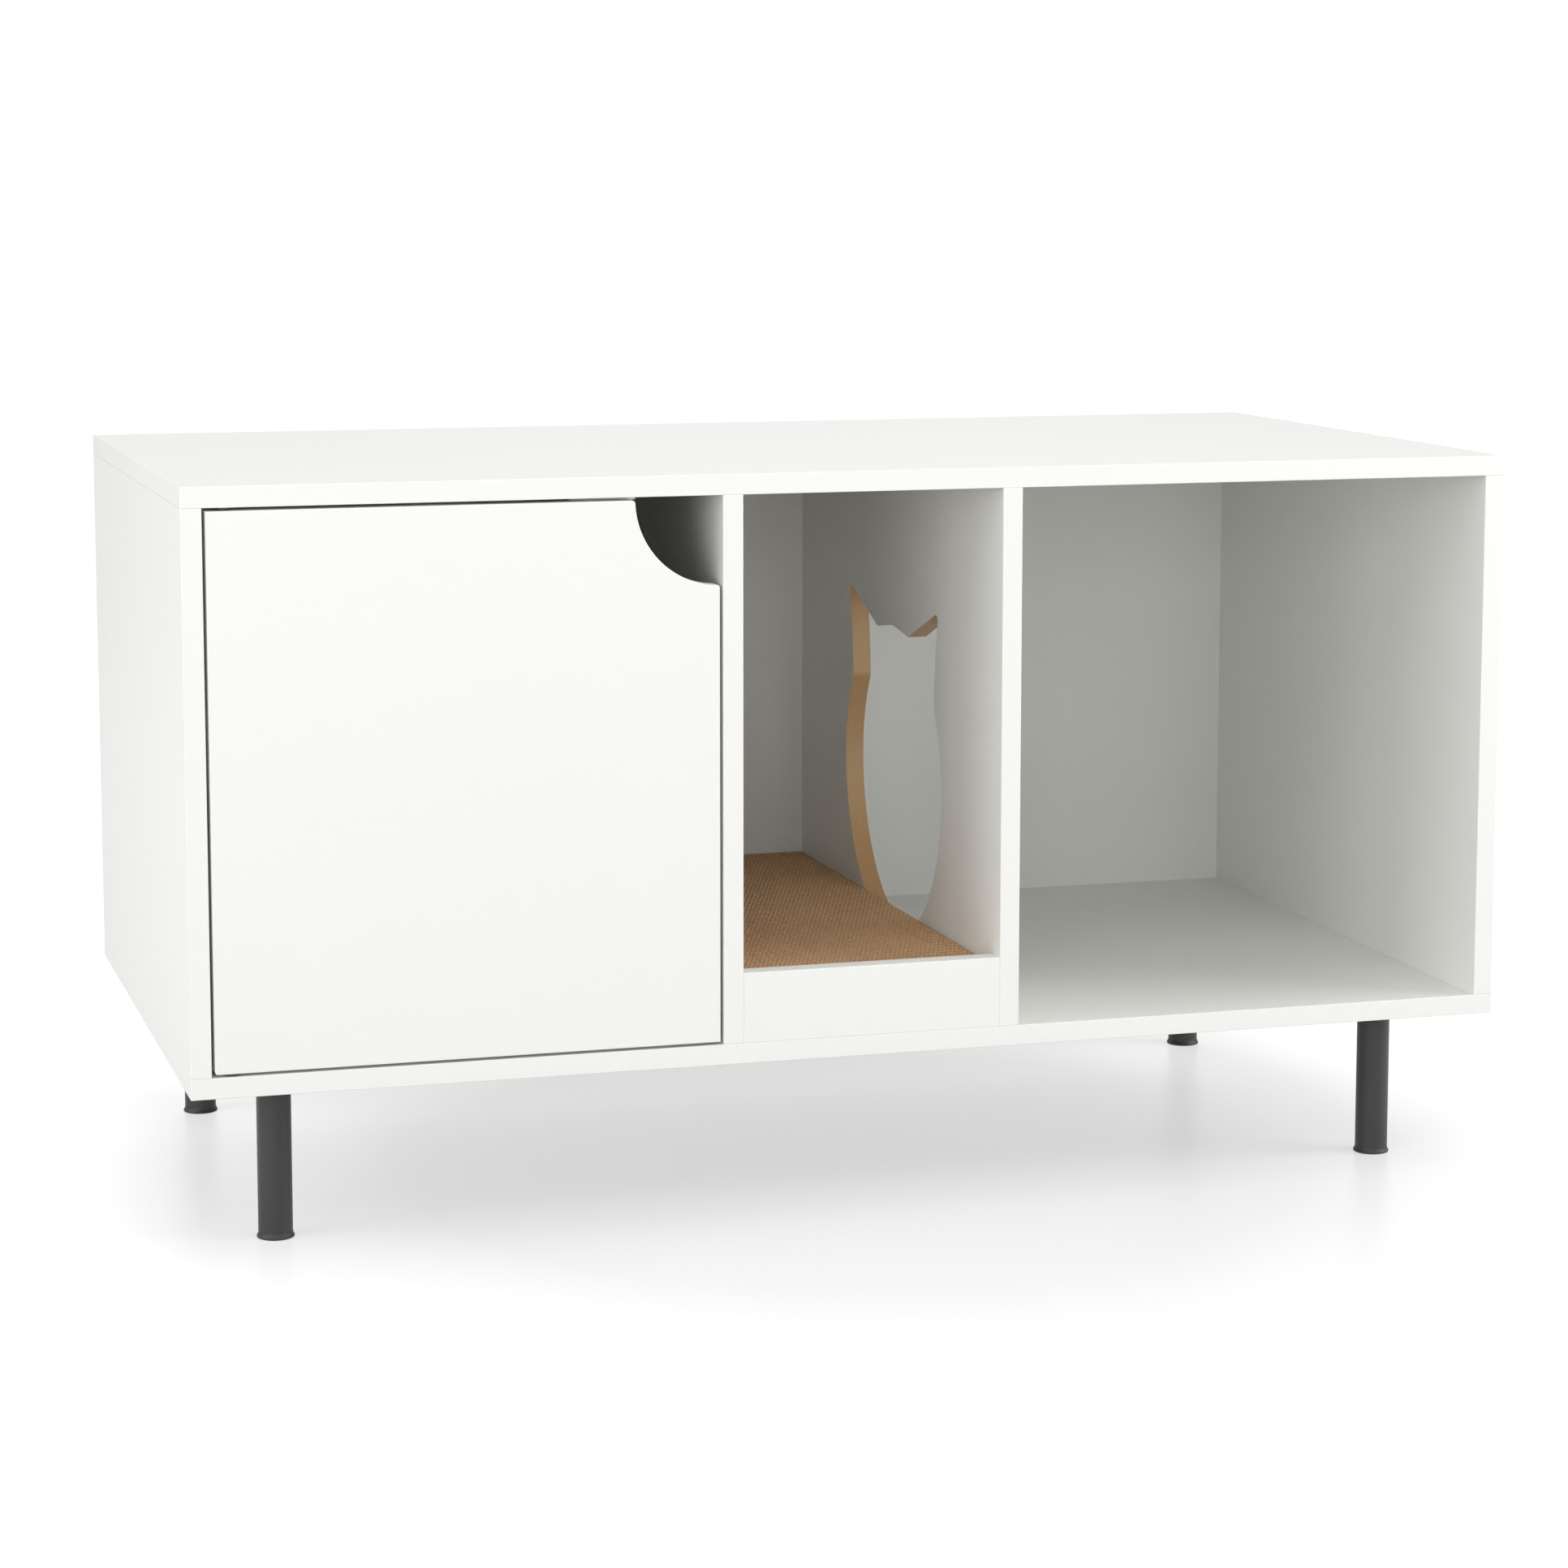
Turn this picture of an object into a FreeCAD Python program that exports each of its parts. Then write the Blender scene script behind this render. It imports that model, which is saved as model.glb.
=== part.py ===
import FreeCAD, Part
import os
from math import cos, pi, sin, sqrt

V = FreeCAD.Vector

# A low cabinet on four tube legs, with three bays side by side: a closed one behind a
# hinged door, a narrow one with a scratching pad behind a low front board, and an open
# one. A doorway like a cat's head goes through each divider.
# Origin: on the floor under the middle of the cabinet. +X is to the right as seen from
# the front, +Y to the rear and +Z up. All sizes are in millimetres.

# Overall size
width = 1000.0
depth = 516.0
box_height = 430.0
leg_height = 120.0

# Boards
board = 15.0                 # top, bottom, sides and dividers
skin = 5.0                   # board left behind a blind hole
edge_round = 0.5             # on the edges that show
middle_bay = 197.0           # clear width between the dividers
back_thickness = 3.0
back_inset = 10.0            # rear edges of the boards to the back panel's front face
groove_depth = 6.0
groove_play = 0.1

# Middle bay: a low front board, and a pad of corrugated card lying behind it
apron_height = 52.0
apron_thickness = 15.0
pad_thickness = 44.0
pad_play = 0.7               # all round the pad

# Cat-head doorway: each rise is from the feature named before it
doorway_sill = 21.0          # bottom panel up to the chin
face_half_width = 122.3      # at the cheeks
cheek_rise = 129.0
neck_rise = 66.0             # where the cheek ends and the ear begins
neck_in = 20.0               # neck inside the cheek
neck_round = 12.0
ear_rise = 76.5
ear_out = 10.7               # ear's tip outside the neck
ear_hollow = 1.5             # how far the ear's outer edge bends in
ear_tip_round = 5.0
ear_drop = 28.2              # ear's tip down to its inner foot
ear_foot_half_width = 39.0
crown_rise = 5.2             # inner feet of the ears up to the point between them

# Door of the left bay
door_thickness = 15.0
door_edge_round = 1.0
door_side_gap = 2.3
door_top_gap = 2.3
door_corner = 2.3            # round of the lower corner at the hinged edge
notch_radius = 62.0          # finger notch, about the upper free corner
notch_blend = 2.5
door_opening_play = 0.3      # least gap at the hinged edge as the door turns

# Door pivots: a pin in the upper and lower edge, each turning in a flanged bush
pin_diameter = 5.0
pin_in_door = 14.0
pin_end_round = 0.5
pin_end_play = 1.0           # beyond the pin, in the bush
running_fit = 0.05           # radial
bush_diameter = 8.0
bush_flange_diameter = 11.0
bush_flange = 1.0
washer_diameter = 10.0
washer_thickness = 0.8
washer_play = 0.2

# Magnetic catch under the top panel, and its strike plate on the door
catch_beyond_notch = 19.5    # end of the notch to the middle of the catch
catch_width = 30.0
catch_depth = 14.0
catch_height = 12.0
catch_wall = 2.0
catch_ear = 9.0
catch_ear_thickness = 3.0
catch_ear_round = 3.0
catch_slot_travel = 4.0
magnet_width = 20.0
magnet_height = 4.0
pole_thickness = 1.2
pole_overhang = 0.7          # pole plates in front of the housing
pole_gap = 0.3               # pole plates to the strike plate
strike_width = 28.0
strike_height = 12.0
strike_thickness = 1.0
strike_round = 2.0
strike_drop = 0.7            # door's upper edge down to the strike plate

# Legs
leg_inset_x = 68.0           # leg's axis from the side of the cabinet
leg_inset_y = 65.0           # and from its front or rear
tube_diameter = 25.0
tube_wall = 1.5
plate_size = 60.0
plate_corner = 6.0
plate_thickness = 2.5
plate_screw_margin = 9.0
foot_diameter = 27.4
foot_height = 4.8
foot_lip = 1.4               # upright edge below the foot's flare
foot_round = 0.8
plug_height = 18.0
plug_play = 0.1
plug_wall = 2.0

# Fasteners
snug = 0.05                  # radial, round a screw or dowel in its own hole
loose = 0.2                  # radial, round a screw in a plate or slot
end_play = 0.5               # beyond the end of a screw or dowel
joint_margin = 58.0          # front or rear edge to the first dowel or long screw
dowel_diameter = 8.0
dowel_length = 30.0
bottom_dowel_pitch = 220.0
apron_dowel_margin = 13.0
long_screw_length = 50.0
long_screw_diameter = 5.0
long_screw_neck = 7.0
long_screw_head = 10.0
long_screw_head_height = 3.0
long_screw_socket = 4.0      # across the flats
long_screw_socket_depth = 2.5
wood_screw_diameter = 3.5
wood_screw_head = 7.0
wood_screw_head_height = 2.0
wood_screw_head_round = 1.0
slot_width = 0.9             # cross slots of the wood screws
slot_length = 3.8
slot_depth = 0.9
strike_screw_diameter = 3.0
strike_screw_head = 6.0
strike_screw_head_height = 0.9

# Places worked out from the sizes above
left = -width / 2
right = width / 2
front = -depth / 2
rear = depth / 2
under = leg_height                      # underside of the bottom panel
low = under + board                     # its upper face
top = under + box_height
high = top - board                      # underside of the top panel
half_bay = middle_bay / 2
divider_out = half_bay + board
back_front = rear - back_inset
back_rear = back_front + back_thickness
apron_back = front + apron_thickness
blind = board - skin                    # depth of a blind hole in a board's face
upright_x = {
    "left_side_panel": left,
    "left_divider": -divider_out,
    "right_divider": half_bay,
    "right_side_panel": right - board,
}
leg_places = {
    "front_left": (left + leg_inset_x, front + leg_inset_y),
    "front_right": (right - leg_inset_x, front + leg_inset_y),
    "rear_left": (left + leg_inset_x, rear - leg_inset_y),
    "rear_right": (right - leg_inset_x, rear - leg_inset_y),
}

# The door and what turns with it. Its axis is as near the hinged edge as lets the
# door's corner pass the side panel.
door_low_gap = bush_flange + washer_thickness + washer_play
door_left = left + board + door_side_gap
door_right = -divider_out - door_side_gap
door_low = low + door_low_gap
door_high = high - door_top_gap
door_back = front + door_thickness
corner_room = door_side_gap - door_opening_play
pivot_inset = ((door_thickness / 2) ** 2 - corner_room ** 2) / (2 * corner_room)
pivot_x = door_left + pivot_inset
pivot_y = front + door_thickness / 2
pin_radius = pin_diameter / 2
catch_x = door_right - notch_radius - catch_beyond_notch
catch_z = high - catch_height / 2       # middle of the magnet
pole_front = door_back + strike_thickness + pole_gap
catch_front = pole_front + pole_overhang
catch_back = catch_front + catch_depth
strike_z = door_high - strike_drop - strike_height / 2

UP = V(0, 0, 1)
DOWN = V(0, 0, -1)
REARWARD = V(0, 1, 0)
FORWARD = V(0, -1, 0)
NEAR = 1e-3                             # how close counts as being in a plane


def block(x, y, z):
    """Box over the given ranges of x, y and z."""
    size = [end - start for start, end in (x, y, z)]
    return Part.makeBox(*size, V(x[0], y[0], z[0]))


def rod(diameter, start, along, length):
    """Round bar from a point along a direction."""
    return Part.makeCylinder(diameter / 2, length, start, along)


def soften(solid, radius, wanted=lambda box: True):
    """Round the edges of a solid whose bounding boxes pass a test."""
    return solid.makeFillet(radius, [edge for edge in solid.Edges if wanted(edge.BoundBox)])


def in_plane_y(*places):
    """Test for edges that lie in one of the planes y = place."""
    return lambda box: any(max(abs(box.YMin - y), abs(box.YMax - y)) < NEAR for y in places)


def line(start, end):
    """Straight edge."""
    return Part.LineSegment(start, end).toShape()


def flat_face(edges):
    """Face inside a closed line of edges, given in any order."""
    return Part.Face(Part.Wire(Part.__sortEdges__(edges)))


def pair(middle, pitch):
    """Two places a pitch apart about a middle."""
    return middle - pitch / 2, middle + pitch / 2


# Fasteners. Each takes play, so that the same function gives the hole for it.

def dowel(start, along, play=0.0, extra=0.0):
    """Dowel from its start along a direction."""
    return rod(dowel_diameter + 2 * play, start - along * extra, along, dowel_length + 2 * extra)


def long_screw(start, play=0.0):
    """Stepped screw, up from its head's face, without its socket."""
    head = rod(long_screw_head + 2 * play, start, UP, long_screw_head_height + play)
    neck = rod(long_screw_neck + 2 * play, start, UP, board)
    shank = rod(long_screw_diameter + 2 * play, start, UP, long_screw_length + play)
    return head.fuse([neck, shank]).removeSplitter()


def hex_socket(start):
    """Six-sided recess up into a long screw's head."""
    reach = long_screw_socket / sqrt(3)
    corners = [start + V(reach * cos(i * pi / 3), reach * sin(i * pi / 3), 0) for i in range(7)]
    return Part.Face(Part.makePolygon(corners)).extrude(UP * long_screw_socket_depth)


def wood_screw(place, held):
    """Round-headed screw, up into a board through a thing of the thickness held."""
    seat = place - UP * held
    face = seat - UP * wood_screw_head_height
    head = rod(wood_screw_head, face, UP, wood_screw_head_height)
    head = soften(head, wood_screw_head_round, lambda box: box.ZMax < face.z + NEAR)
    shank = rod(wood_screw_diameter, seat, UP, held + blind - end_play)
    across = (face.z, face.z + slot_depth)
    slots = [block(pair(face.x, slot_length), pair(face.y, slot_width), across),
             block(pair(face.x, slot_width), pair(face.y, slot_length), across)]
    return head.fuse(shank).removeSplitter().cut(slots)


def wood_screw_hole(place):
    """Blind hole for a wood screw in a board's underside."""
    return rod(wood_screw_diameter + 2 * snug, place, UP, blind)


def strike_screw(play=0.0):
    """Flush-headed screw through the strike plate into the door."""
    face = V(catch_x, door_back + strike_thickness, strike_z)
    wide = strike_screw_head / 2 + play
    narrow = strike_screw_diameter / 2 + play
    head = Part.makeCone(wide, narrow, strike_screw_head_height, face, FORWARD)
    length = strike_thickness + door_thickness - skin - end_play + play
    return head.fuse(rod(2 * narrow, face, FORWARD, length)).removeSplitter()


# Where the fasteners are: the start of each, and the way that the dowels point

def upright_middles():
    """Middle of the thickness of each upright board."""
    return [x + board / 2 for x in upright_x.values()]


def top_dowels():
    ends = pair(0, depth - 2 * joint_margin)
    z = high + blind - end_play
    return [(V(x, y, z), DOWN) for x in upright_middles() for y in (ends[0], 0, ends[1])]


def bottom_dowels():
    z = low - blind + end_play
    return [(V(x, y, z), UP) for x in upright_middles() for y in pair(0, bottom_dowel_pitch)]


def apron_dowels():
    """From both dividers into the ends of the low front board."""
    out = half_bay + blind - end_play
    y = front + apron_thickness / 2
    heights = pair(low + apron_height / 2, apron_height - 2 * apron_dowel_margin)
    return [(V(side * out, y, z), V(-side, 0, 0)) for side in (-1, 1) for z in heights]


def long_screw_places():
    ends = pair(0, depth - 2 * joint_margin)
    return [V(x, y, under) for x in upright_middles() for y in ends]


def plate_screw_places():
    pitch = plate_size - 2 * plate_screw_margin
    return [V(px, py, under) for x, y in leg_places.values()
            for px in pair(x, pitch) for py in pair(y, pitch)]


def catch_screw_places():
    y = (catch_front + catch_back) / 2
    return [V(x, y, high) for x in pair(catch_x, catch_width + catch_ear)]


def dowel_holes(dowels):
    return [dowel(start, along, snug, end_play) for start, along in dowels]


def upright_holes():
    """Holes for all that goes into the ends of the uprights."""
    holes = [long_screw(place, snug) for place in long_screw_places()]
    return holes + dowel_holes(top_dowels() + bottom_dowels())


# Boards

def back_space(play, enter):
    """The back panel's block, grown by a play and entering the boards by a depth."""
    return block((left + board - enter, right - board + enter),
                 (back_front - play, back_rear + play),
                 (low - enter, high + enter))


def back_groove():
    return back_space(groove_play, groove_depth)


def top_panel():
    slab = soften(block((left, right), (front, rear), (high, top)), edge_round)
    holes = dowel_holes(top_dowels()) + [bush_hole(high, UP), back_groove()]
    return slab.cut(holes + [wood_screw_hole(place) for place in catch_screw_places()])


def bottom_panel():
    slab = soften(block((left, right), (front, rear), (under, low)), edge_round)
    holes = dowel_holes(bottom_dowels()) + [bush_hole(low, DOWN), back_groove()]
    holes += [long_screw(place, snug) for place in long_screw_places()]
    return slab.cut(holes + [wood_screw_hole(place) for place in plate_screw_places()])


def side_panel(x):
    slab = block((x, x + board), (front, rear), (low, high))
    slab = soften(slab, edge_round, in_plane_y(front, rear))
    return slab.cut(upright_holes() + [back_groove()])


def divider(x):
    slab = block((x, x + board), (front, back_front), (low, high))
    slab = soften(slab, edge_round, in_plane_y(front))
    return slab.cut(upright_holes() + dowel_holes(apron_dowels()) + [doorway(x)])


def doorway(x):
    """Cat-head opening through the board that starts at x."""
    cheek_z = low + doorway_sill + cheek_rise
    neck_z = cheek_z + neck_rise
    tip_z = neck_z + ear_rise
    foot_z = tip_z - ear_drop
    chin = V(x, 0, low + doorway_sill)
    feet = []
    edges = []
    for side in (-1, 1):
        cheek = V(x, side * face_half_width, cheek_z)
        neck = V(x, side * (face_half_width - neck_in), neck_z)
        tip = V(x, side * (face_half_width - neck_in + ear_out), tip_z)
        foot = V(x, side * ear_foot_half_width, foot_z)
        bend = (neck + tip) / 2 - V(0, side * ear_hollow, 0)
        feet.append(foot)
        edges += [quarter_ellipse(cheek, V(x, cheek.y, chin.z), chin), upright_arc(cheek, neck),
                  Part.Arc(neck, bend, tip).toShape(), line(tip, foot)]
    crown = V(x, 0, foot_z + crown_rise)
    edges += [line(foot, crown) for foot in feet]
    opening = flat_face(edges).extrude(V(board, 0, 0))
    opening = soften(opening, neck_round, across_at(neck_z))
    return soften(opening, ear_tip_round, across_at(tip_z))


def across_at(z):
    """Test for the edges of a doorway that run along X at height z."""
    return lambda box: box.XLength > board / 2 and max(abs(box.ZMin - z), abs(box.ZMax - z)) < NEAR


def quarter_ellipse(start, corner, end):
    """Quarter of an ellipse inside the corner of its box."""
    curve = Part.BezierCurve()
    curve.setPoles([start, corner, end])
    curve.setWeight(2, sqrt(0.5))
    return curve.toShape()


def upright_arc(start, end):
    """Arc in a plane x = constant that is upright at its start."""
    across = end.y - start.y
    rise = end.z - start.z
    radius = (across ** 2 + rise ** 2) / (2 * across)
    half_way = radius * (1 - sqrt(1 - (rise / 2 / radius) ** 2))
    return Part.Arc(start, start + V(0, half_way, rise / 2), end).toShape()


def back_panel():
    return back_space(0, groove_depth - groove_play)


def front_apron():
    slab = block((-half_bay, half_bay), (front, apron_back), (low, low + apron_height))
    return soften(slab, edge_round, in_plane_y(front)).cut(dowel_holes(apron_dowels()))


def scratching_pad():
    half = half_bay - pad_play
    return block((-half, half), (apron_back + pad_play, back_front - pad_play),
                 (low, low + pad_thickness))


# Door, its pivots and its catch

def door():
    slab = block((door_left, door_right), (front, door_back), (door_low, door_high))
    corner = V(door_right, front, door_high)
    slab = slab.cut(rod(2 * notch_radius, corner, REARWARD, door_thickness))
    slab = soften(slab, notch_blend, is_notch_end)
    slab = soften(slab, door_corner, is_lower_hinged_corner)
    slab = soften(slab, door_edge_round, in_plane_y(front, door_back))
    return slab.cut([pin_hole(door_low, UP), pin_hole(door_high, DOWN), strike_screw(snug)])


def is_lower_hinged_corner(box):
    """Whether an edge goes through the door at its lower hinged corner."""
    at_corner = box.XMax < door_left + NEAR and box.ZMax < door_low + NEAR
    return box.YLength > door_thickness / 2 and at_corner


def is_notch_end(box):
    """Whether an edge goes through the door where the finger notch ends."""
    at_top = abs(box.XMin - (door_right - notch_radius)) < NEAR and box.XLength < NEAR
    at_side = abs(box.ZMin - (door_high - notch_radius)) < NEAR and box.ZLength < NEAR
    return box.YLength > door_thickness / 2 and (at_top or at_side)


def pin_hole(z, inward):
    """Hole for a pivot pin in the door's edge at height z."""
    return rod(pin_diameter + 2 * snug, V(pivot_x, pivot_y, z), inward, pin_in_door + snug)


def pivot_pin(z, outward, gap):
    """Pin from inside the door, through its edge at height z, over the gap into the bush."""
    length = pin_in_door + gap + blind - pin_end_play
    pin = rod(pin_diameter, V(pivot_x, pivot_y, z) - outward * pin_in_door, outward, length)
    return soften(pin, pin_end_round)


def bush_hole(z, inward):
    """Hole for a pivot bush in a panel's face at height z."""
    return rod(bush_diameter + 2 * snug, V(pivot_x, pivot_y, z), inward, blind)


def pivot_bush(z, inward):
    """Flanged bush let into a panel's face at height z."""
    place = V(pivot_x, pivot_y, z)
    sleeve = rod(bush_diameter, place, inward, blind)
    flange = rod(bush_flange_diameter, place, -inward, bush_flange)
    bore = rod(pin_diameter + 2 * running_fit, place - inward * bush_flange, inward,
               bush_flange + blind)
    return sleeve.fuse(flange).cut(bore).removeSplitter()


def thrust_washer():
    """Washer under the door, round the lower pin."""
    place = V(pivot_x, pivot_y, door_low)
    disc = rod(washer_diameter, place, DOWN, washer_thickness)
    return disc.cut(rod(pin_diameter + 2 * snug, place, DOWN, washer_thickness))


def catch_housing():
    span = (catch_front, catch_back)
    body = block(pair(catch_x, catch_width), span, (high - catch_height, high))
    body = soften(body, edge_round, lambda box: box.ZMax < high - NEAR)
    ears = block(pair(catch_x, catch_width + 2 * catch_ear), span,
                 (high - catch_ear_thickness, high))
    ears = soften(ears, catch_ear_round, lambda box: box.ZLength > catch_ear_thickness / 2)
    slots = [catch_slot(place) for place in catch_screw_places()]
    window = catch_layer(magnet_width + 2 * snug, catch_front, magnet_height / 2 + pole_thickness + snug)
    return body.fuse(ears).removeSplitter().cut(slots + [window])


def catch_slot(place):
    """Slot along the depth, for a wood screw in one of the catch's ears."""
    gauge = wood_screw_diameter + 2 * loose
    ends = pair(place.y, catch_slot_travel)
    span = (high - catch_ear_thickness, high)
    tools = [rod(gauge, V(place.x, y, high), DOWN, catch_ear_thickness) for y in ends]
    return block(pair(place.x, gauge), ends, span).fuse(tools)


def catch_layer(across, start_y, half_height):
    """Block about the magnet's middle, back to the housing's rear wall."""
    return block(pair(catch_x, across), (start_y, catch_back - catch_wall),
                 (catch_z - half_height, catch_z + half_height))


def catch_magnet():
    return catch_layer(magnet_width, catch_front, magnet_height / 2)


def pole_plates():
    """The steel plates below and above the magnet."""
    both = catch_layer(magnet_width, pole_front, magnet_height / 2 + pole_thickness)
    return both.cut(catch_layer(magnet_width, pole_front, magnet_height / 2)).Solids


def strike_plate():
    plate = block(pair(catch_x, strike_width), (door_back, door_back + strike_thickness),
                  pair(strike_z, strike_height))
    plate = soften(plate, strike_round, lambda box: box.YLength > strike_thickness / 2)
    return plate.cut(strike_screw(snug))


# Legs

def leg_plate(x, y):
    plate = block(pair(x, plate_size), pair(y, plate_size), (under - plate_thickness, under))
    plate = soften(plate, plate_corner, lambda box: box.ZLength > plate_thickness / 2)
    gauge = wood_screw_diameter + 2 * loose
    return plate.cut([rod(gauge, place, DOWN, plate_thickness) for place in plate_screw_places()])


def leg_tube(x, y):
    base = V(x, y, foot_height)
    length = under - plate_thickness - foot_height
    bore = rod(tube_diameter - 2 * tube_wall, base, UP, length)
    return rod(tube_diameter, base, UP, length).cut(bore)


def foot(x, y):
    """Flange that flares from the tube's end, with a hollow plug up inside the tube."""
    base = V(x, y, 0)
    seat = V(x, y, foot_height)
    rim = V(x, y + foot_diameter / 2, 0)
    lip = rim + UP * foot_lip
    neck = seat + V(0, tube_diameter / 2, 0)
    profile = [line(base, rim), line(rim, lip), upright_arc(neck, lip), line(neck, seat),
               line(seat, base)]
    flange = flat_face(profile).revolve(base, UP, 360)
    flange = soften(flange, foot_round,
                    lambda box: box.XLength > tube_diameter and box.ZMax < foot_lip + NEAR)
    gauge = tube_diameter - 2 * tube_wall - 2 * plug_play
    plug = rod(gauge, seat, UP, plug_height).cut(rod(gauge - 2 * plug_wall, seat, UP, plug_height))
    return flange.fuse(plug).removeSplitter()


def save(name, *solids):
    """Write one node: a single solid, or a group of like ones."""
    shape = solids[0] if len(solids) == 1 else Part.makeCompound(list(solids))
    shape.exportStep("parts/" + name + ".step")


os.makedirs("parts", exist_ok=True)

save("top_panel", top_panel())
save("bottom_panel", bottom_panel())
save("left_side_panel", side_panel(upright_x["left_side_panel"]))
save("right_side_panel", side_panel(upright_x["right_side_panel"]))
save("left_divider", divider(upright_x["left_divider"]))
save("right_divider", divider(upright_x["right_divider"]))
save("back_panel", back_panel())
save("front_apron", front_apron())
save("scratching_pad", scratching_pad())

save("door", door())
save("upper_pivot_pin", pivot_pin(door_high, UP, door_top_gap))
save("lower_pivot_pin", pivot_pin(door_low, DOWN, door_low_gap))
save("upper_pivot_bush", pivot_bush(high, UP))
save("lower_pivot_bush", pivot_bush(low, DOWN))
save("thrust_washer", thrust_washer())

save("catch_housing", catch_housing())
save("catch_magnet", catch_magnet())
save("catch_pole_plates", *pole_plates())
save("catch_screws", *[wood_screw(place, catch_ear_thickness) for place in catch_screw_places()])
save("strike_plate", strike_plate())
save("strike_screw", strike_screw())

for corner_name, (leg_x, leg_y) in leg_places.items():
    save(corner_name + "_leg_tube", leg_tube(leg_x, leg_y))
    save(corner_name + "_leg_plate", leg_plate(leg_x, leg_y))
    save(corner_name + "_foot", foot(leg_x, leg_y))
save("leg_plate_screws", *[wood_screw(place, plate_thickness) for place in plate_screw_places()])

save("top_panel_dowels", *[dowel(start, along) for start, along in top_dowels()])
save("bottom_panel_dowels", *[dowel(start, along) for start, along in bottom_dowels()])
save("apron_dowels", *[dowel(start, along) for start, along in apron_dowels()])
save("bottom_panel_screws",
     *[long_screw(place).cut(hex_socket(place)) for place in long_screw_places()])

print("pivot axis at x %.3f, y %.3f" % (pivot_x, pivot_y))
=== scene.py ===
import math
import random
import bpy
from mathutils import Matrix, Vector


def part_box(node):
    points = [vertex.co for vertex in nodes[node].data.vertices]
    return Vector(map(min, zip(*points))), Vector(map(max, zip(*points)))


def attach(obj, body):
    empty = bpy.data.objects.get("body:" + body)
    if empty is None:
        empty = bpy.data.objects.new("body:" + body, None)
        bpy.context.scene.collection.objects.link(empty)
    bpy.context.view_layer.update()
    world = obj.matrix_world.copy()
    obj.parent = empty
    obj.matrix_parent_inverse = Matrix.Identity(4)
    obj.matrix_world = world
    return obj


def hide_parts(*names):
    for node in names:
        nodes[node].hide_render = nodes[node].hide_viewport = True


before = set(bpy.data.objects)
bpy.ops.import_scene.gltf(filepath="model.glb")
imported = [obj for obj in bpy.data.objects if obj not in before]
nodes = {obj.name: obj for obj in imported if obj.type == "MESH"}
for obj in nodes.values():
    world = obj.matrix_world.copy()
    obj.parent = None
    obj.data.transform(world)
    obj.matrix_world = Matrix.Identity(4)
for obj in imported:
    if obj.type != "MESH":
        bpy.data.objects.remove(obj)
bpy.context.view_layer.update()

# The photograph's camera, fitted to the cabinet's edges. Metres and degrees, in the shared frame.
IMAGE_PIXELS = 1932
CAMERA_PLACE = (-0.8522, -2.8974, 0.7753)
CAMERA_YAW = 16.283          # to the right
CAMERA_PITCH = 7.300         # down
FOCAL_PIXELS = 4754.3
PRINCIPAL_X = 944.06         # pixel where the camera's axis meets the picture
PRINCIPAL_Y = 799.59
SENSOR_MM = 36.0             # the lens is in proportion to it

# Light. A radiance of 1 shows as full white.
BACKDROP = 1.0               # what the camera sees of the world
AMBIENT = 0.08               # what the world gives as light
SOFTBOXES = {                # place, point it faces, width and height in metres, watts
    "overhead": ((0.0, -0.3, 2.6), (0.0, 0.0, 0.5), (2.4, 1.6), 20.5),
    "high_front": ((0.0, -2.2, 2.6), (0.0, -0.1, 0.35), (2.4, 1.4), 23.0),
    "level_front": ((-0.4, -3.6, 0.75), (0.0, -0.25, 0.35), (2.6, 1.3), 22.5),
    "low_left": ((-2.6, -2.6, 0.9), (-0.3, -0.1, 0.35), (1.8, 1.4), 32.5),
    "low_right": ((2.4, -2.8, 0.9), (0.3, -0.1, 0.35), (1.8, 1.4), 23.0),
    "left": ((-3.2, -0.6, 1.2), (-0.5, 0.0, 0.35), (2.0, 1.6), 44.0),
    "right": ((3.2, -1.2, 1.4), (0.5, 0.0, 0.35), (2.0, 1.6), 63.0),
    "behind": ((0.2, 2.9, 1.6), (0.0, 0.2, 0.35), (2.6, 1.3), 42.0),
}
NOT_MIRRORED = ("behind",)   # lamps that would show as a streak in the top

FLOOR_SIZE = 60.0
FLOOR_COLOR = 0.45
FLOOR_ROUGHNESS = 0.9
FLOOR_GLOSS = 0.5            # weight of the coat that mirrors the legs
FLOOR_GLOSS_SPREAD = 0.3     # its roughness
PAINTED_SHADOW_GLOW = 0.49            # added to what the camera sees of the floor near the object; held this low there as a painted shadow
# middle of the painted shadow, under the cabinet a little to the front
PAINTED_SHADOW_MIDDLE = (0.03, -0.10, 0.0)
FLOOR_WHITE_FROM = 0.35      # metres from that middle where the glow starts to rise
FLOOR_WHITE_AT = 0.97        # and where it has risen to the backdrop's white

# Scratching pad of corrugated card, its layers on edge. Metres.
CARD_LAYER = 0.0034          # one flat sheet to the next, rounded so that they fill the pad
CARD_WAVE = 0.0092           # length of one wave of the fluted sheet
CARD_LINER = 0.0003          # thickness of a flat sheet
CARD_FLUTE = 0.0005          # thickness of a fluted sheet
LINER_DROP = 0.0001          # flat sheets stand this far below the fluted ones
WAVE_STEPS = 8               # straight pieces in one wave
LAYER_JITTER = 0.0005        # how far one layer's waves are out of step, at most
CARD_UNEVEN = 0.0002         # how far a sheet's edge stands below its level, at most
CORE_DROP = 0.0012           # below this depth the pad is a plain block
RANDOM_SEED = 7

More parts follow.
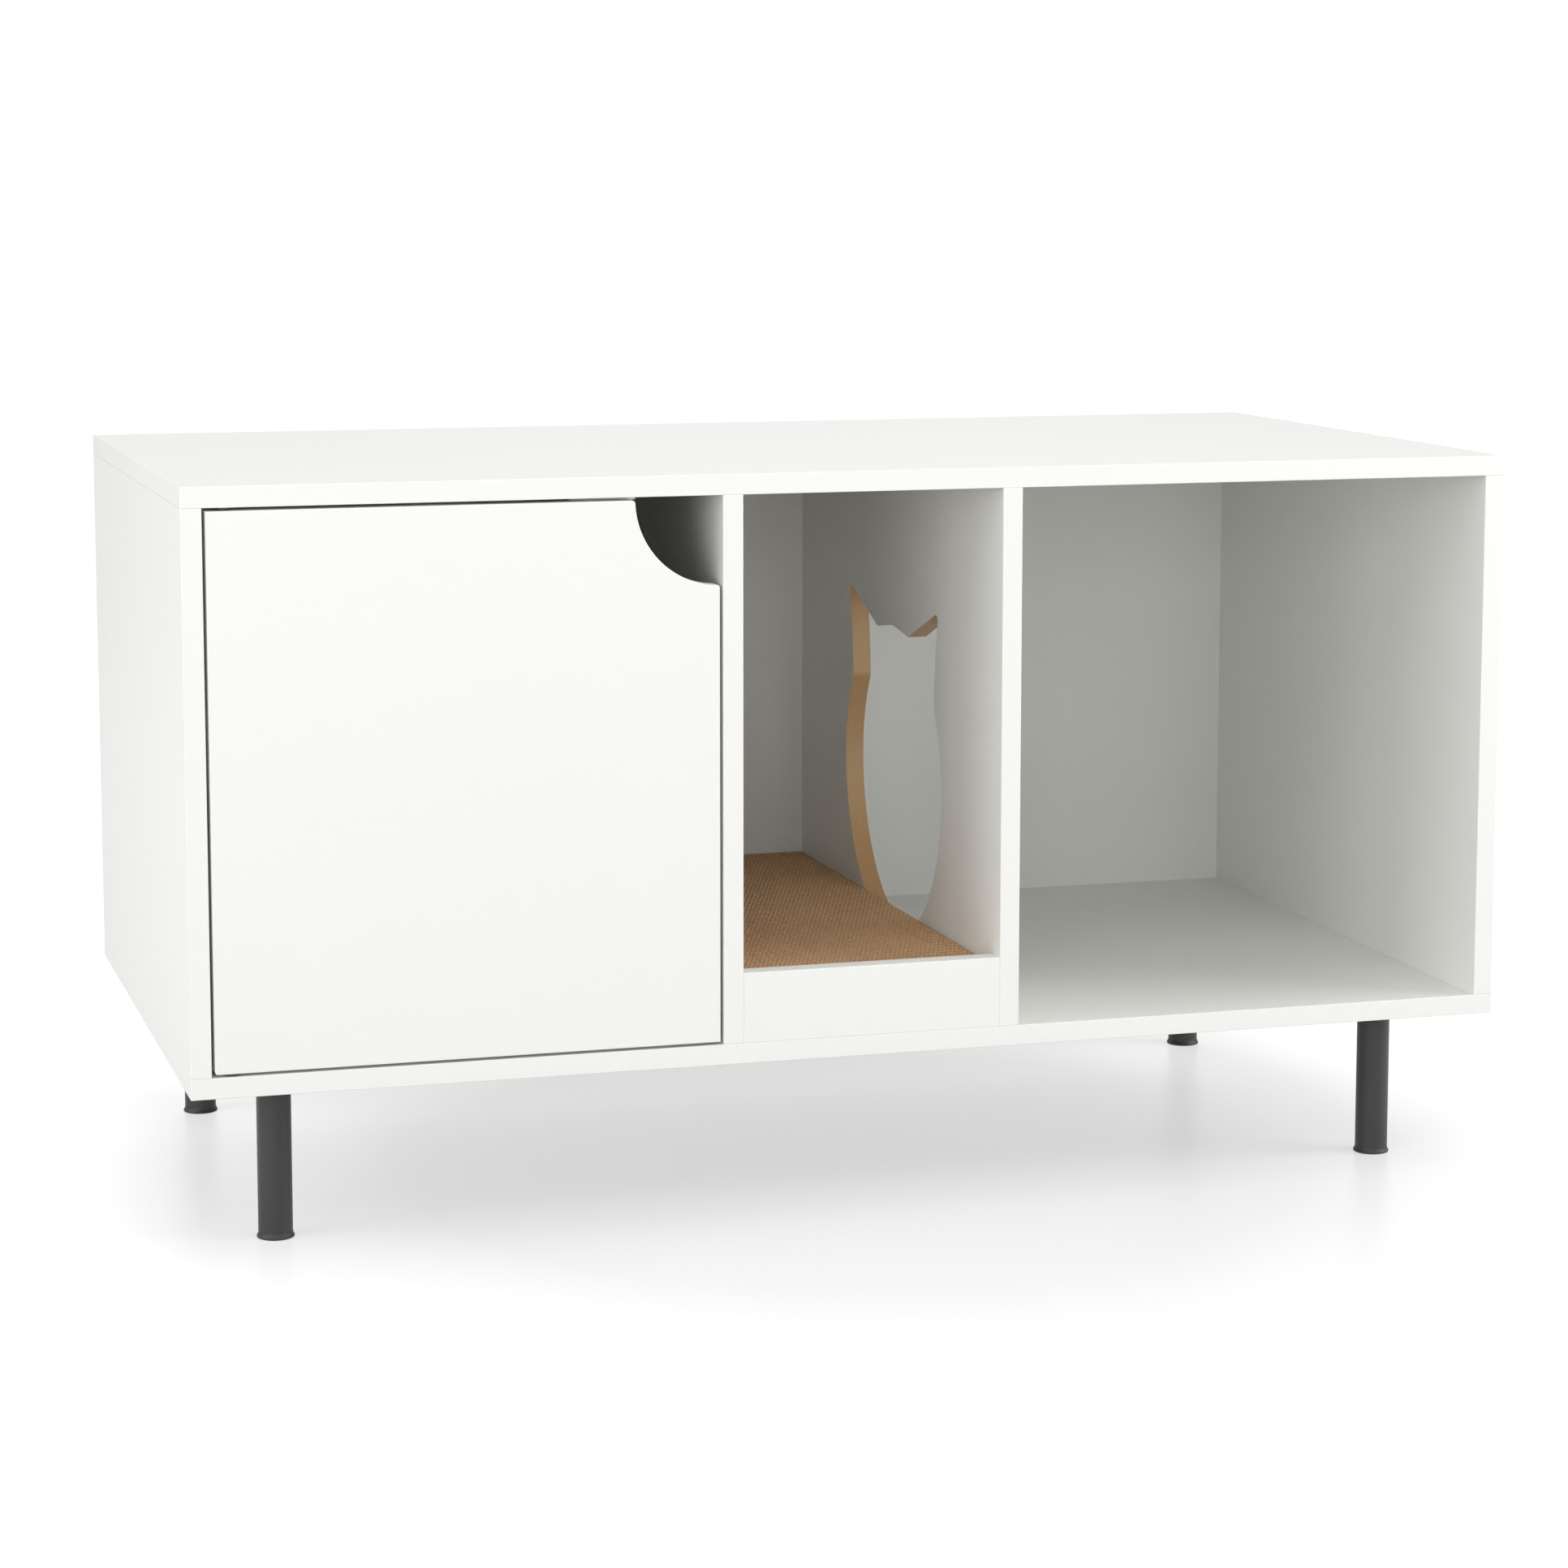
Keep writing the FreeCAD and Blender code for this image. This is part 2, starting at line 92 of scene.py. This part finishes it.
# Colours, linear. A material goes from one to the other of a pair with its noise.
WHITE = (0.810, 0.813, 0.786)
WHITE_SHADE = (0.795, 0.798, 0.771)
BACKING = (0.800, 0.803, 0.776)
BACKING_SHADE = (0.785, 0.788, 0.761)
FIBRE = (0.53, 0.335, 0.155)
FIBRE_DARK = (0.42, 0.25, 0.11)
CHARCOAL = (0.030, 0.030, 0.030)
CHARCOAL_DARK = (0.022, 0.022, 0.022)
ZINC = (0.72, 0.73, 0.74)
ZINC_DARK = (0.58, 0.59, 0.61)
BLACKENED = (0.04, 0.04, 0.042)
BLACKENED_DARK = (0.026, 0.026, 0.028)
WOOD = (0.6, 0.4, 0.23)
WOOD_DARK = (0.42, 0.26, 0.13)
CARD_SIDE = (0.73, 0.485, 0.285)
CARD_SIDE_DARK = (0.61, 0.395, 0.225)
CARD_EDGE = (0.81, 0.56, 0.345)
CARD_EDGE_DARK = (0.69, 0.46, 0.27)
CARD_STAIN = (0.44, 0.29, 0.17)
CARD_STAIN_SHARE = 0.25      # how far the stain shows where it is strongest
BLACK_PLASTIC = (0.014, 0.014, 0.014)
WHITE_PLASTIC = (0.8, 0.8, 0.79)
GREY_NYLON = (0.08, 0.08, 0.08)
FERRITE = (0.03, 0.03, 0.032)
PLAIN_WHITE = (1.0, 1.0, 1.0, 1.0)

# Where a material shows
NOISE_LOW = 0.3              # soft noise lies mostly between these two
NOISE_HIGH = 0.7
FACING = 0.5                 # a surface faces along an axis if its normal's part there is over this
DOORWAY_REACH = 0.13         # metres to front and rear of the middle: a box round a doorway
DOORWAY_LOW = 0.15           # metres above the floor: the box's lower and upper level
DOORWAY_HIGH = 0.45
PRESSED_FIBRE = (1500.0, 60.0, 60.0)    # scale of a divider's streaks: close together across it
LOOSE_FIBRE = (60.0, 60.0, 60.0)        # and of the back panel's: the same all ways
SPECKS_FROM = 0.35           # noise from which fibreboard has dark specks
SPECKS_AT = 0.65             # and where they are darkest
SPECKS_SHARE = 0.25          # how dark that is
MOULDED_SHADE = 0.92         # brightness of a moulding's darker parts
MOULDED_SPREAD = 0.05        # how far its roughness varies to each side

# Numbers of a mix node's sockets for colours
MIX_FIRST = 6
MIX_SECOND = 7
MIX_RESULT = 2


def scene_camera():
    """The camera at the photograph's place."""
    data = bpy.data.cameras.new("camera")
    data.sensor_width = SENSOR_MM
    data.lens = FOCAL_PIXELS / IMAGE_PIXELS * SENSOR_MM
    middle = (IMAGE_PIXELS - 1) / 2
    data.shift_x = (middle - PRINCIPAL_X) / IMAGE_PIXELS
    data.shift_y = (PRINCIPAL_Y - middle) / IMAGE_PIXELS
    camera = bpy.data.objects.new("camera", data)
    camera.location = CAMERA_PLACE
    camera.rotation_euler = (math.radians(90 - CAMERA_PITCH), 0, math.radians(-CAMERA_YAW))
    bpy.context.collection.objects.link(camera)
    bpy.context.scene.camera = camera


class Shader:
    """A material with one main shader, and helpers for the nodes that feed it."""

    def __init__(self, name, values=()):
        """values: plain values for the main shader's sockets, by name."""
        self.material = bpy.data.materials.new(name)
        self.material.use_nodes = True
        self.tree = self.material.node_tree
        self.main = self.tree.nodes["Principled BSDF"]
        for socket, value in dict(values).items():
            self.main.inputs[socket].default_value = value
        self.where = self.add("ShaderNodeTexCoord")
        self.place = self.where.outputs["Object"]

    def feed(self, socket, output):
        """Link an output to the main shader."""
        self.tree.links.new(output, self.main.inputs[socket])

    def add(self, kind, inputs=(), **settings):
        """New node with its settings, and values or links for its inputs."""
        node = self.tree.nodes.new(kind)
        for name, value in settings.items():
            setattr(node, name, value)
        for socket, value in dict(inputs).items():
            if isinstance(value, bpy.types.NodeSocket):
                self.tree.links.new(value, node.inputs[socket])
            else:
                node.inputs[socket].default_value = value
        return node

    def axes(self, vector):
        """The three numbers of a vector."""
        return self.add("ShaderNodeSeparateXYZ", {0: vector}).outputs

    def normal(self, axis):
        """The part of the surface's normal along an axis."""
        return self.axes(self.where.outputs["Normal"])[axis]

    def noise(self, scale, detail=2.0):
        """Soft noise from 0 to 1. scale: per metre, one number or one for each axis."""
        place = self.place
        if isinstance(scale, tuple):
            inputs = {0: place, 1: scale}
            node = self.add("ShaderNodeVectorMath", inputs, operation="MULTIPLY")
            place = node.outputs["Vector"]
            scale = 1.0
        inputs = {"Vector": place, "Scale": scale, "Detail": detail}
        return self.add("ShaderNodeTexNoise", inputs).outputs["Fac"]

    def math(self, operation, a, b=0.0):
        """Result of an operation on one or two numbers or links."""
        return self.add("ShaderNodeMath", {0: a, 1: b}, operation=operation).outputs[0]

    def ramp(self, value, low, high, to_low=0.0, to_high=1.0):
        """Value taken from one range to another, and clamped there."""
        inputs = {"Value": value, "From Min": low, "From Max": high,
                  "To Min": to_low, "To Max": to_high}
        return self.add("ShaderNodeMapRange", inputs).outputs["Result"]

    def within(self, value, low, high):
        """1 between two bounds and 0 outside them."""
        above = self.math("GREATER_THAN", value, low)
        return self.math("MULTIPLY", above, self.math("LESS_THAN", value, high))

    def blend(self, factor, first, second):
        """Colour between two colours or links."""
        inputs = {0: factor}
        for socket, value in ((MIX_FIRST, first), (MIX_SECOND, second)):
            inputs[socket] = (*value, 1.0) if isinstance(value, tuple) else value
        return self.add("ShaderNodeMix", inputs, data_type="RGBA").outputs[MIX_RESULT]

    def roughen(self, noise, smooth, rough):
        """Roughness that goes from one value to the other with a noise."""
        self.feed("Roughness", self.ramp(noise, NOISE_LOW, NOISE_HIGH, smooth, rough))

    def bump(self, height, depth, strength=0.5):
        """Small relief, of the given depth in metres."""
        inputs = {"Height": height, "Distance": depth, "Strength": strength}
        self.feed("Normal", self.add("ShaderNodeBump", inputs).outputs["Normal"])


def dress(shader, *names):
    """Give CAD nodes a material."""
    for name in names:
        for slot in nodes[name].material_slots:
            slot.material = shader.material


# Materials

def white_foil(name, white=WHITE, shade=WHITE_SHADE):
    """Satin foil with a fine even grain. Returns the shader and its colour."""
    shader = Shader(name)
    color = shader.blend(shader.noise(scale=4.0, detail=3.0), shade, white)
    grain = shader.noise(scale=1400.0)
    shader.feed("Base Color", color)
    shader.roughen(grain, smooth=0.38, rough=0.46)
    shader.bump(grain, depth=0.00002, strength=0.4)
    return shader, color


def raw_fibre(shader, streaks_scale):
    """Colour of bare fibreboard: streaks, and dark specks."""
    streaks = shader.noise(streaks_scale, detail=3.0)
    specks = shader.ramp(shader.noise(scale=900.0, detail=3.0), SPECKS_FROM, SPECKS_AT)
    tone = shader.blend(streaks, FIBRE, FIBRE_DARK)
    return shader.blend(shader.math("MULTIPLY", specks, SPECKS_SHARE), tone, FIBRE_DARK)


def divider_foil():
    """White foil, with bare fibreboard on the rim of the doorway."""
    shader, white = white_foil("divider_foil")
    sideways = shader.math("ABSOLUTE", shader.normal("X"))
    on_edge = shader.math("LESS_THAN", sideways, FACING)
    place = shader.axes(shader.place)
    in_depth = shader.within(place["Y"], -DOORWAY_REACH, DOORWAY_REACH)
    in_height = shader.within(place["Z"], DOORWAY_LOW, DOORWAY_HIGH)
    rim = shader.math("MULTIPLY", on_edge, shader.math("MULTIPLY", in_depth, in_height))
    shader.feed("Base Color", shader.blend(rim, white, raw_fibre(shader, PRESSED_FIBRE)))
    return shader


def backing_board():
    """Thin hardboard: white foil in front, bare and brown behind."""
    shader, white = white_foil("backing_board", BACKING, BACKING_SHADE)
    behind = shader.math("GREATER_THAN", shader.normal("Y"), FACING)
    shader.feed("Base Color", shader.blend(behind, white, raw_fibre(shader, LOOSE_FIBRE)))
    return shader


def powder_coat():
    """Charcoal powder coat with a fine orange-peel texture."""
    shader = Shader("charcoal_coat", {"Specular IOR Level": 0.4})
    peel = shader.noise(scale=1300.0)
    shader.feed("Base Color", shader.blend(peel, CHARCOAL_DARK, CHARCOAL))
    shader.roughen(peel, smooth=0.4, rough=0.5)
    shader.bump(peel, depth=0.00004)
    return shader


def moulded(name, color, roughness):
    """Moulded plastic with a fine even texture."""
    shader = Shader(name)
    grain = shader.noise(scale=2500.0)
    darker = tuple(MOULDED_SHADE * part for part in color)
    shader.feed("Base Color", shader.blend(shader.noise(scale=150.0), darker, color))
    shader.roughen(grain, roughness - MOULDED_SPREAD, roughness + MOULDED_SPREAD)
    shader.bump(grain, depth=0.00002, strength=0.4)
    return shader


def steel(name, darker, paler):
    """Plated or blackened steel, a little blotchy, with fine scratches."""
    shader = Shader(name, {"Metallic": 1.0})
    blotch = shader.noise(scale=300.0, detail=3.0)
    scratches = shader.noise(scale=(300.0, 4000.0, 300.0))
    shader.feed("Base Color", shader.blend(blotch, darker, paler))
    shader.roughen(scratches, smooth=0.25, rough=0.45)
    return shader


def beech():
    """Pale turned wood."""
    shader = Shader("beech", {"Roughness": 0.6})
    grain = shader.noise(scale=(900.0, 900.0, 60.0), detail=3.0)
    shader.feed("Base Color", shader.blend(grain, WOOD_DARK, WOOD))
    shader.bump(grain, depth=0.00005)
    return shader


def kraft_card():
    """Brown card with fibres, a paler cut edge and large faint stains."""
    shader = Shader("kraft_card", {"Roughness": 0.85})
    fibres = shader.noise(scale=700.0, detail=4.0)
    cloud = shader.noise(scale=9.0, detail=3.0)
    side = shader.blend(fibres, CARD_SIDE_DARK, CARD_SIDE)
    edge = shader.blend(fibres, CARD_EDGE_DARK, CARD_EDGE)
    cut = shader.math("GREATER_THAN", shader.normal("Z"), FACING)
    color = shader.blend(cut, side, edge)
    stain = shader.ramp(cloud, NOISE_LOW, NOISE_HIGH, to_high=CARD_STAIN_SHARE)
    shader.feed("Base Color", shader.blend(stain, color, CARD_STAIN))
    shader.bump(fibres, depth=0.00006)
    return shader


# Scratching pad

class Mesh:
    """Points and faces gathered into one mesh."""

    def __init__(self):
        self.points = []
        self.faces = []

    def wall(self, line, thickness, low, high):
        """Closed upright sheet along a line of (x, y) places, from one level to another."""
        first = len(self.points)
        for index, (x, y) in enumerate(line):
            before = line[max(index - 1, 0)]
            after = line[min(index + 1, len(line) - 1)]
            run = Vector((after[0] - before[0], after[1] - before[1])).normalized()
            side = Vector((-run.y, run.x)) * thickness / 2
            for way in (1, -1):
                for z in (low, high):
                    self.points.append((x + way * side.x, y + way * side.y, z))
        # Each place has four points: low and high on one side, then low and high on the other.
        for index in range(len(line) - 1):
            a = first + 4 * index
            b = a + 4
            self.faces += [(a, b, b + 1, a + 1), (a + 3, b + 3, b + 2, a + 2),
                           (a + 1, b + 1, b + 3, a + 3), (a + 2, b + 2, b, a)]
        last = first + 4 * (len(line) - 1)
        self.faces += [(first, first + 1, first + 3, first + 2),
                       (last + 2, last + 3, last + 1, last)]

    def build(self, name, shader):
        """The object, in the scene."""
        mesh = bpy.data.meshes.new(name)
        mesh.from_pydata(self.points, [], self.faces)
        mesh.materials.append(shader.material)
        mesh.validate()
        piece = bpy.data.objects.new(name, mesh)
        bpy.context.collection.objects.link(piece)
        return piece


def card_pad():
    """Pad of corrugated card: flat sheets on edge, with a fluted sheet between each two."""
    rng = random.Random(RANDOM_SEED)
    (left, front, bottom), (right, rear, top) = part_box("scratching_pad")
    room = right - left - CARD_LINER        # first flat sheet to the last, at their middles
    layers = round(room / CARD_LAYER)
    pitch = room / layers
    swing = 0.5 * (pitch - CARD_FLUTE)      # of the waves to each side
    steps = round((rear - front) / CARD_WAVE * WAVE_STEPS)
    ys = [front + (rear - front) * step / steps for step in range(steps + 1)]
    base = top - CORE_DROP
    middle = (left + right) / 2
    card = Mesh()
    card.wall([(middle, front), (middle, rear)], right - left, bottom, base)
    for layer in range(layers + 1):
        x = left + CARD_LINER / 2 + layer * pitch
        edge = top - LINER_DROP - rng.uniform(0, CARD_UNEVEN)
        card.wall([(x, front), (x, rear)], CARD_LINER, base, edge)
    for layer in range(layers):
        x = left + CARD_LINER / 2 + (layer + 0.5) * pitch
        shift = rng.uniform(-LAYER_JITTER, LAYER_JITTER)
        angles = [math.tau * (y - front + shift) / CARD_WAVE for y in ys]
        line = [(x + swing * math.cos(angle), y) for angle, y in zip(angles, ys)]
        edge = top - rng.uniform(0, CARD_UNEVEN)
        card.wall(line, CARD_FLUTE, base, edge)
    return card.build("card_pad", kraft_card())


# Light and floor

def white_to_camera(tree):
    """1 for rays that show the backdrop: from the camera, a gloss or a glass."""
    path = tree.nodes.new("ShaderNodeLightPath")
    total = path.outputs["Is Camera Ray"]
    for kind in ("Is Glossy Ray", "Is Transmission Ray"):
        node = tree.nodes.new("ShaderNodeMath")
        node.operation = "MAXIMUM"
        tree.links.new(total, node.inputs[0])
        tree.links.new(path.outputs[kind], node.inputs[1])
        total = node.outputs[0]
    return total


def backdrop():
    """White to the camera, and a plain even light on the object."""
    world = bpy.data.worlds.new("backdrop")
    world.use_nodes = True
    bpy.context.scene.world = world
    tree = world.node_tree
    strength = tree.nodes.new("ShaderNodeMapRange")
    tree.links.new(white_to_camera(tree), strength.inputs["Value"])
    strength.inputs["To Min"].default_value = AMBIENT
    strength.inputs["To Max"].default_value = BACKDROP
    background = tree.nodes["Background"]
    background.inputs["Color"].default_value = PLAIN_WHITE
    tree.links.new(strength.outputs["Result"], background.inputs["Strength"])


def softbox(name, place, target, size, watts):
    """Large soft lamp that faces a point."""
    data = bpy.data.lights.new(name, "AREA")
    data.shape = "RECTANGLE"
    data.size, data.size_y = size
    data.energy = watts
    lamp = bpy.data.objects.new(name, data)
    lamp.location = place
    lamp.rotation_euler = (Vector(target) - Vector(place)).to_track_quat("-Z", "Y").to_euler()
    lamp.visible_glossy = name not in NOT_MIRRORED
    bpy.context.collection.objects.link(lamp)


def floor():
    """White floor that keeps the object's shadow and a faint mirror image. Its emission is held
    lower round a middle under the cabinet, which paints a deeper shadow there.
    """
    half = FLOOR_SIZE / 2
    corners = [(-half, -half, 0), (half, -half, 0), (half, half, 0), (-half, half, 0)]
    mesh = bpy.data.meshes.new("floor")
    mesh.from_pydata(corners, [], [(0, 1, 2, 3)])
    plane = bpy.data.objects.new("floor", mesh)
    bpy.context.collection.objects.link(plane)
    shader = Shader("floor", {
        "Base Color": (FLOOR_COLOR, FLOOR_COLOR, FLOOR_COLOR, 1.0),
        "Roughness": FLOOR_ROUGHNESS,
        "Specular IOR Level": 0.0,
        "Coat Weight": FLOOR_GLOSS,
        "Coat Roughness": FLOOR_GLOSS_SPREAD,
        "Emission Color": PLAIN_WHITE,
    })
    inputs = {0: shader.place, 1: PAINTED_SHADOW_MIDDLE}
    away = shader.add("ShaderNodeVectorMath", inputs, operation="DISTANCE").outputs["Value"]
    # Emission rises from the painted shadow's middle out to the backdrop's white.
    glow_and_painted_shadow = shader.ramp(away, FLOOR_WHITE_FROM, FLOOR_WHITE_AT, PAINTED_SHADOW_GLOW, BACKDROP)
    shader.feed("Emission Strength", shader.math("MULTIPLY", white_to_camera(shader.tree), glow_and_painted_shadow))
    mesh.materials.append(shader.material)


scene_camera()
backdrop()
for lamp_name, lamp_settings in SOFTBOXES.items():
    softbox(lamp_name, *lamp_settings)
floor()
bpy.context.scene.view_settings.view_transform = "Standard"

legs = ("front_left", "front_right", "rear_left", "rear_right")
tubes_and_plates = [leg + part for leg in legs for part in ("_leg_tube", "_leg_plate")]
feet = [leg + "_foot" for leg in legs]
dress(white_foil("white_foil")[0], "top_panel", "bottom_panel", "left_side_panel",
      "right_side_panel", "front_apron", "door")
dress(divider_foil(), "left_divider", "right_divider")
dress(backing_board(), "back_panel")
dress(powder_coat(), *tubes_and_plates)
dress(moulded("black_plastic", BLACK_PLASTIC, roughness=0.55), *feet)
dress(moulded("white_plastic", WHITE_PLASTIC, roughness=0.4), "catch_housing")
dress(moulded("grey_nylon", GREY_NYLON, roughness=0.5),
      "upper_pivot_bush", "lower_pivot_bush", "thrust_washer")
dress(moulded("ferrite", FERRITE, roughness=0.6), "catch_magnet")
dress(steel("zinc_plate", ZINC_DARK, ZINC), "catch_pole_plates", "catch_screws",
      "strike_plate", "strike_screw", "leg_plate_screws", "bottom_panel_screws")
dress(steel("blackened_steel", BLACKENED_DARK, BLACKENED), "upper_pivot_pin", "lower_pivot_pin")
dress(beech(), "top_panel_dowels", "bottom_panel_dowels", "apron_dowels")

pad = card_pad()
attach(pad, "pad")
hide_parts("scratching_pad")
